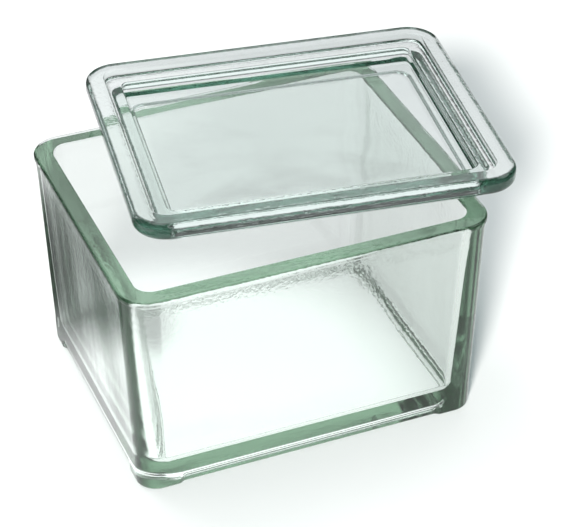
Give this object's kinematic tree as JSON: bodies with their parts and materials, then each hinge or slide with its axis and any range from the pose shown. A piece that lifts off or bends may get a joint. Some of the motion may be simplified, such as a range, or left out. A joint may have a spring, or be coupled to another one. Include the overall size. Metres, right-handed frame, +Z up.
{
  "type": "slide staining jar",
  "caption": "Rectangular pressed-glass staining jar for microscope slides, with a hollow foot and a stepped glass lid lying askew on its rim.",
  "frame": {"origin": "centre of the jar's foot, in the plane that it stands on", "axes": "+X along the jar's longer side, +Y along its shorter side towards the back, +Z up out of the mouth"},
  "size_m": [0.1283, 0.105, 0.0777],
  "materials": {
    "pressed_glass": "clear soda-lime glass with a faint green tint in its edges, pressed and fire-polished, slightly wavy"
  },
  "bodies": {
    "root": {"jar": "pressed_glass", "lid": "pressed_glass"}
  },
  "joints": []
}
